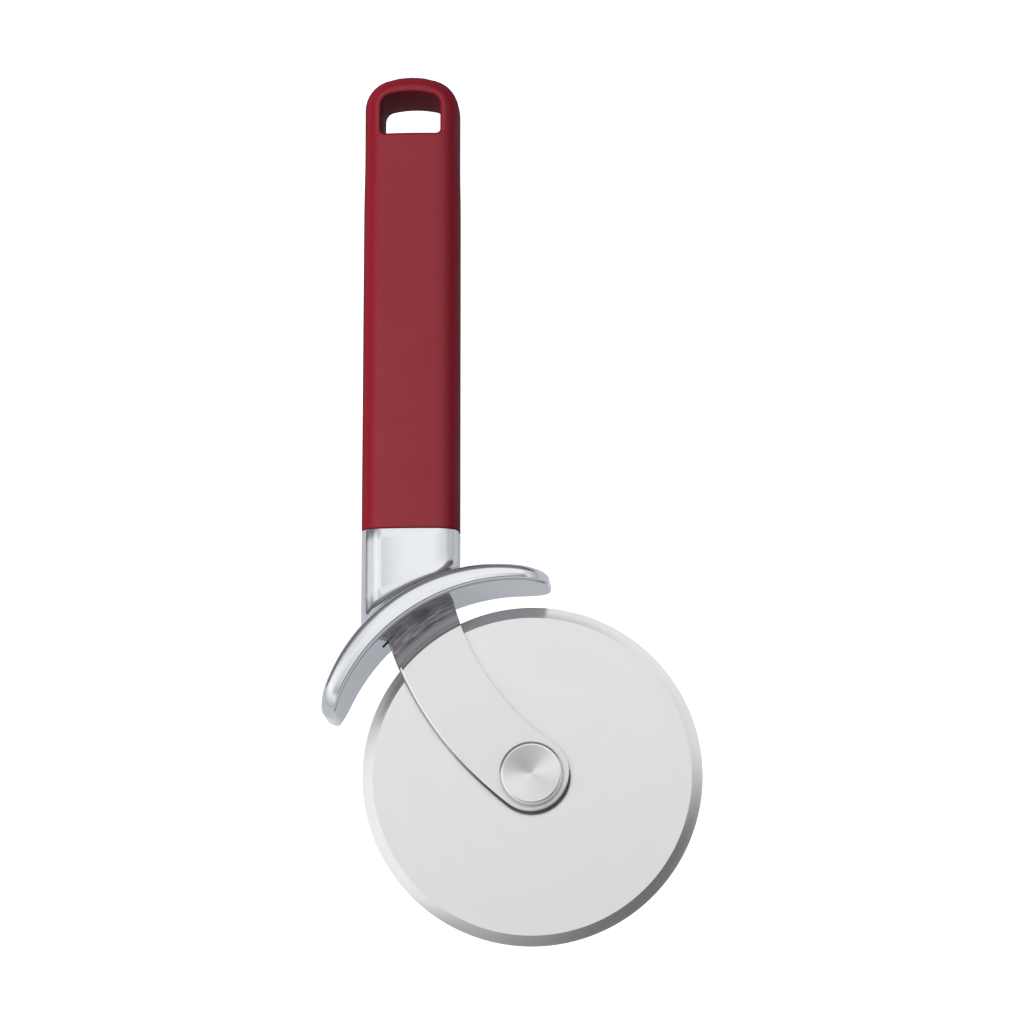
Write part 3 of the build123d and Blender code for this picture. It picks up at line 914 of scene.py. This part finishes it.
def shell_of(node):
    """A CAD node's mesh in millimetres about the wheel's centre, its loose triangles merged."""
    bm = bmesh.new()
    bm.from_mesh(cad_nodes[node].data)
    bmesh.ops.remove_doubles(bm, verts=bm.verts, dist=0.000001)
    bmesh.ops.transform(bm, matrix=Matrix.Scale(1000, 4) @ Matrix.Translation(-wheel_centre),
                        verts=bm.verts)
    bmesh.ops.dissolve_limit(bm, angle_limit=math.radians(0.5), verts=bm.verts, edges=bm.edges,
                             delimit={"NORMAL"})
    return bm


def flat_place(x, y):
    """A place for a pattern that is drawn on a flat, from two outputs."""
    node = x.id_data.nodes.new("ShaderNodeCombineXYZ")
    wire(x, node.inputs["X"])
    wire(y, node.inputs["Y"])
    return node.outputs["Vector"]


about_axle, given, result = effect("about_axle", (), ("Radius", "Turn"))
centred = about_axle.nodes.new("ShaderNodeSeparateXYZ")
wire(mapped(object_place(about_axle), 0.0, (1000, 1000, 1000), -wheel_centre * 1000),
     centred.inputs[0])
axle_x, axle_y, _ = centred.outputs
squares = [maths("POWER", maths("ABSOLUTE", axis), 2.0) for axis in (axle_x, axle_y)]
wire(maths("SQRT", maths("ADD", *squares)), result["Radius"])
wire(maths("ARCTAN2", axle_y, axle_x), result["Turn"])

rolled_grain, given, result = effect(
    "rolled_grain", (("Line Scale", 1800.0), ("Patch Scale", 45.0)), ("Lines", "Patches"))
place = object_place(rolled_grain)
along_strip = mapped(place, 0.42, (1.0, 0.03, 1.0))
wire(noise(along_strip, given["Line Scale"], 2.0, 0.7), result["Lines"])
wire(noise(place, given["Patch Scale"], 3.0), result["Patches"])

arm_finish, arm_tree, arm_shader = finish("satin_arm_steel", 0.67, 0.3, 1.0)
axle = use_effect(arm_tree, about_axle)
rolled = use_effect(arm_tree, rolled_grain, Line_Scale=1800.0, Patch_Scale=45.0)
# Past the rim the steel is painted darker as shade and dark reflection: darkest in the
# joggle's bend, and streaked along the rim beyond it.
painted_dark_share = eased(axle["Radius"], dark_zone_start - 0.15, dark_zone_start + 0.25)
beyond = eased(axle["Radius"], joggle_end - 0.5, joggle_end + 0.6)
streak_place = flat_place(maths("MULTIPLY", axle["Radius"], 1.6),
                          maths("MULTIPLY", axle["Turn"], 9.0))
streaks = eased(noise(streak_place, 1.0, 4.0, 0.6), 0.35, 0.7)
dark = blend_colours(streaks, (0.175, 0.165, 0.175), (0.43, 0.42, 0.44))
joggle_painted_dark = blend_colours(eased(axle["Radius"], dark_zone_start + 0.3, dark_zone_start + 2.0),
                       (0.11, 0.107, 0.113), (0.48, 0.47, 0.488))
bright = blend_colours(rolled["Patches"], 0.665, 0.685)
arm_height = maths("ADD", maths("MULTIPLY", rolled["Lines"], 0.25),
                   maths("MULTIPLY", streaks, beyond))
dress(arm_shader, blend_colours(painted_dark_share, bright, blend_colours(beyond, joggle_painted_dark, dark)),
      eased(rolled["Patches"], 0.3, 0.7, 0.285, 0.325), arm_height, 0.00003)

# The side walls are painted near black at the free end as a painted shadow, and a lighter grey
# along the strip as a painted shade line where arm and wheel meet.
edge_shade_finish, edge_shade_tree, edge_shade_shader = finish("steel_edge_painted_shade", 0.1, 0.42, 1.0)
edge_marks = use_effect(edge_shade_tree, polish_marks, Wave_Scale=400.0, Scratch_Scale=3000.0)
near_end = eased(use_effect(edge_shade_tree, about_axle)["Radius"], 12.0, 26.0, 1.0, 0.0)
end_painted_shadow = blend_colours(edge_marks["Smudge"], 0.08, 0.13)
dress(edge_shade_shader, blend_colours(near_end, 0.5, end_painted_shadow),
      eased(edge_marks["Scratch"], 0.3, 0.7, 0.36, 0.5), edge_marks["Scratch"], 0.00003)

# The lower edge's bevel is a lighter steel that fades towards the free end: a painted highlight
# over its real reflection of the bright ceiling.
edge_highlight_finish, edge_highlight_tree, edge_highlight_shader = finish("steel_edge_painted_highlight", 0.7, 0.22, 1.0)
edge_highlight_marks = use_effect(edge_highlight_tree, polish_marks, Wave_Scale=250.0, Scratch_Scale=2200.0)
highlight_reach = eased(use_effect(edge_highlight_tree, about_axle)["Radius"], 16.0, 30.0)
painted_highlight_grey = blend_colours(edge_highlight_marks["Smudge"], 0.71, 0.77)
dress(edge_highlight_shader, blend_colours(highlight_reach, 0.6, painted_highlight_grey),
      eased(edge_highlight_marks["Smudge"], 0.0, 1.0, 0.2, 0.25), edge_highlight_marks["Scratch"], 0.000004)

for node in ("front_arm", "rear_arm"):
    arm_mesh = shell_of(node)
    outwards = 1 if node == "front_arm" else -1
    edges = [e for e in arm_mesh.edges if len(e.link_faces) == 2 and e.is_convex
             and max(f.normal.z * outwards for f in e.link_faces) > flat_lean
             and min(abs(f.normal.z) for f in e.link_faces) < upright_lean
             and max(v.co.xy.length for v in e.verts) > cap_seat_radius]
    corners = [v.co.copy() for v in {v for e in edges for v in e.verts}]
    rounded = bmesh.ops.bevel(arm_mesh, geom=edges, offset=arm_edge, offset_type="OFFSET",
                              segments=4, profile=0.5, affect="EDGES", material=-1,
                              clamp_overlap=False)
    for vert in rounded["verts"]:
        corner = min(corners, key=lambda c: (c - vert.co).length_squared)
        turn = math.degrees(math.atan2(corner.y, corner.x))
        high = corner.x * high_side_way[0] + corner.y * high_side_way[1] > 0
        side_share = high_side_share if high else low_side_share
        share = side_share + (1 - side_share) * round_end_share(turn, corner.xy.length)
        vert.co = corner + (vert.co - corner) * share
    for vert in arm_mesh.verts:
        turn = math.degrees(math.atan2(vert.co.y, vert.co.x))
        reach = vert.co.xy.length
        if round_end_radii[0] < reach < round_end_radii[1]:
            vert.co.xy += vert.co.xy.normalized() * round_end_swell * round_end_share(turn, reach)
    arm_mesh.normal_update()
    # Side walls take the finish painted dark as shadow and shade; the lower edge's narrow bevel
    # takes the finish with the painted highlight.
    for face in arm_mesh.faces:
        lean = high_shear_lean if face.normal.y > upwards_lean else shear_lean
        downwards = -face.normal.x * high_side_way[0] - face.normal.y * high_side_way[1]
        reach = face.calc_center_median().xy.length
        if abs(face.normal.z) < lean:
            face.material_index = 1
        elif downwards > highlight_lean and highlight_start < reach < dark_zone_start:
            face.material_index = 2
        else:
            face.material_index = 0
    arm = piece(node + "_steel", arm_mesh, 35)
    arm.modifiers.new("even_shading", "WEIGHTED_NORMAL").keep_sharp = True
    for made in (arm_finish, edge_shade_finish, edge_highlight_finish):
        arm.data.materials.append(made)
    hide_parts(node)
    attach(arm, "handle_assembly")


# Wheel. A disc of hardened stainless steel, fine ground on both sides, with a polished bevel
# ground round its rim from each side. A plastic bush is clipped into its middle.

bevel_start = 42.15
blade_bore = 6.75
blade_half = 0.7
bevel_rows = ((43.0, 0.46), (44.0, 0.205), (45.0, 0.01))
blade_steps = 300


def turned(name, profile, steps, sharp_angle):
    """A solid of revolution about the axle, from its closed profile of radius and height."""
    bm = bmesh.new()
    first = [bm.verts.new((radius, 0, height)) for radius, height in profile]
    edges = [bm.edges.new(pair) for pair in neighbours(first)]
    bmesh.ops.spin(bm, geom=first + edges, cent=(0, 0, 0), axis=(0, 0, 1), dvec=(0, 0, 0),
                   angle=2 * math.pi, steps=steps, use_merge=True)
    bmesh.ops.remove_doubles(bm, verts=bm.verts, dist=0.0005)
    bmesh.ops.dissolve_degenerate(bm, edges=bm.edges, dist=0.0005)
    bmesh.ops.recalc_face_normals(bm, faces=bm.faces)
    return piece(name, bm, sharp_angle)


blade_side = [(blade_bore, blade_half), (24.0, blade_half), (bevel_start, blade_half), *bevel_rows]
blade = turned("wheel_disc", blade_side + [(r, -z) for r, z in blade_side[::-1]], blade_steps, 6)

turned_marks, given, result = effect(
    "turned_marks", (("Groove Pitch", 0.12), ("Wander", 0.4)), ("Grooves", "Sheen"))
axle = use_effect(turned_marks, about_axle)
groove_place = flat_place(maths("DIVIDE", axle["Radius"], given["Groove Pitch"]),
                          maths("MULTIPLY", axle["Turn"], given["Wander"]))
wire(noise(groove_place, 1.0, 2.0, 0.7), result["Grooves"])
sheen_place = flat_place(maths("MULTIPLY", axle["Radius"], 0.5),
                         maths("MULTIPLY", axle["Turn"], 2.0))
wire(noise(sheen_place, 0.6, 3.0), result["Sheen"])

blade_finish, blade_tree, blade_shader = finish("ground_blade_steel", 0.69, 0.3, 1.0)
ground = use_effect(blade_tree, turned_marks, Groove_Pitch=0.14, Wander=30.0)
on_bevel = eased(use_effect(blade_tree, about_axle)["Radius"], bevel_start - 0.05,
                 bevel_start + 0.05)
flat_grey = blend_colours(ground["Sheen"], 0.68, 0.7)
# The bevel's steel is a darker grey than the flats, a painted shade; the grooves vary it a little.
bevel_painted_shade_grey = blend_colours(eased(ground["Grooves"], 0.35, 0.65), (0.56, 0.555, 0.565),
                           (0.585, 0.58, 0.59))
flat_roughness = eased(ground["Sheen"], 0.3, 0.7, 0.285, 0.32)
dress(blade_shader, blend_colours(on_bevel, flat_grey, bevel_painted_shade_grey),
      maths("SUBTRACT", flat_roughness, maths("MULTIPLY", on_bevel, 0.15)),
      ground["Grooves"], 0.0000012)
blade.data.materials.append(blade_finish)
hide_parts("wheel_blade")
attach(blade, "wheel")


# Caps. Two turned stainless steel caps cover the rivet's heads. Each has a rounded rim and a
# slightly hollow face, whose turning marks throw light out in fans from its middle.

cap_radius = 8.5
cap_foot = 3.15
cap_top = 6.15
cap_foot_edge = 0.15
cap_rim = 1.0
cap_dish = 0.72
cap_dish_rows = ((0.66, 0.34), (0.33, 0.67))
cap_steps = 144

cap_profile = [(0, cap_foot), (cap_radius - cap_foot_edge, cap_foot),
               (cap_radius, cap_foot + cap_foot_edge)]
for turn in (0, 18, 36, 54, 72, 88):
    a = math.radians(turn)
    cap_profile.append((cap_radius - cap_rim * (1 - math.cos(a)),
                        cap_top - cap_rim * (1 - math.sin(a))))
face_edge = cap_radius - cap_rim
face_top = cap_top - 0.01
cap_profile.append((face_edge - 0.12, face_top))
cap_profile += [(face_edge * share, face_top - cap_dish * dip) for share, dip in cap_dish_rows]
cap_profile += [(0.25, face_top - cap_dish), (0, cap_top - 0.02 - cap_dish)]

cap_finish, cap_tree, cap_shader = finish("turned_cap_steel", 0.6, 0.16, 1.0)
spun = use_effect(cap_tree, turned_marks, Groove_Pitch=0.09, Wander=0.3)
on_face = eased(use_effect(cap_tree, about_axle)["Radius"], face_edge - 0.2, face_edge, 1.0, 0.0)
dress(cap_shader, blend_colours(spun["Sheen"], 0.59, 0.61), eased(on_face, 0.0, 1.0, 0.12, 0.24),
      maths("MULTIPLY", spun["Grooves"], on_face), 0.0000015)
cap_shader.inputs["Anisotropic"].default_value = 0.8
cap_shader.inputs["Anisotropic Rotation"].default_value = 0.25
fan = cap_tree.nodes.new("ShaderNodeTangent")
fan.direction_type = "RADIAL"
fan.axis = "Z"
wire(fan.outputs["Tangent"], cap_shader.inputs["Tangent"])

for node, outwards in (("front_cap", 1), ("rear_cap", -1)):
    cap = turned(node + "_steel", [(r, z * outwards) for r, z in cap_profile], cap_steps, 30)
    cap.data.materials.append(cap_finish)
    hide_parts(node)
    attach(cap, "handle_assembly")


# Axle, pins and rivets. Plain drawn steel, cut to length. The rivet is closed over the arms with
# a sleeve for the wheel to run on, and the pins and small rivets hold the handle together.


def coat(node, made):
    """Gives a CAD node's own mesh a finish."""
    cad_nodes[node].data.materials.clear()
    cad_nodes[node].data.materials.append(made)


inner_finish, inner_tree, inner_shader = finish("drawn_steel", 0.5, 0.32, 1.0)
drawn = use_effect(inner_tree, polish_marks, Wave_Scale=300.0, Scratch_Scale=2600.0)
dress(inner_shader, blend_colours(drawn["Smudge"], (0.46, 0.46, 0.455), (0.54, 0.54, 0.535)),
      eased(drawn["Smudge"], 0.0, 1.0, 0.29, 0.38), drawn["Scratch"], 0.000006)
for node in ("axle_rivet", "axle_sleeve", "front_washer", "rear_washer", "spigot_pin",
             "tang_rivets", "core_pins"):
    coat(node, inner_finish)


# Handle core and wheel bush. Plain mouldings, the core black and the bush natural white, with
# a slight orange peel from the mould. Neither shows much once the tool is together.

core_finish, core_tree, core_shader = finish("moulded_core", 0.03, 0.5)
peel = use_effect(core_tree, moulded_grain, Grain_Scale=1500.0, Cloud_Scale=80.0)
dress(core_shader, blend_colours(peel["Cloud"], (0.024, 0.024, 0.025), 0.038),
      eased(peel["Cloud"], 0.0, 1.0, 0.44, 0.56), peel["Grain"], 0.00003)
coat("handle_core", core_finish)

bush_finish, bush_tree, bush_shader = finish("natural_bush", (0.76, 0.75, 0.7), 0.38)
peel = use_effect(bush_tree, moulded_grain, Grain_Scale=1800.0, Cloud_Scale=150.0)
dress(bush_shader, blend_colours(peel["Cloud"], (0.72, 0.71, 0.66), (0.8, 0.79, 0.75)),
      eased(peel["Cloud"], 0.0, 1.0, 0.32, 0.42), peel["Grain"], 0.00002)
coat("wheel_bush", bush_finish)
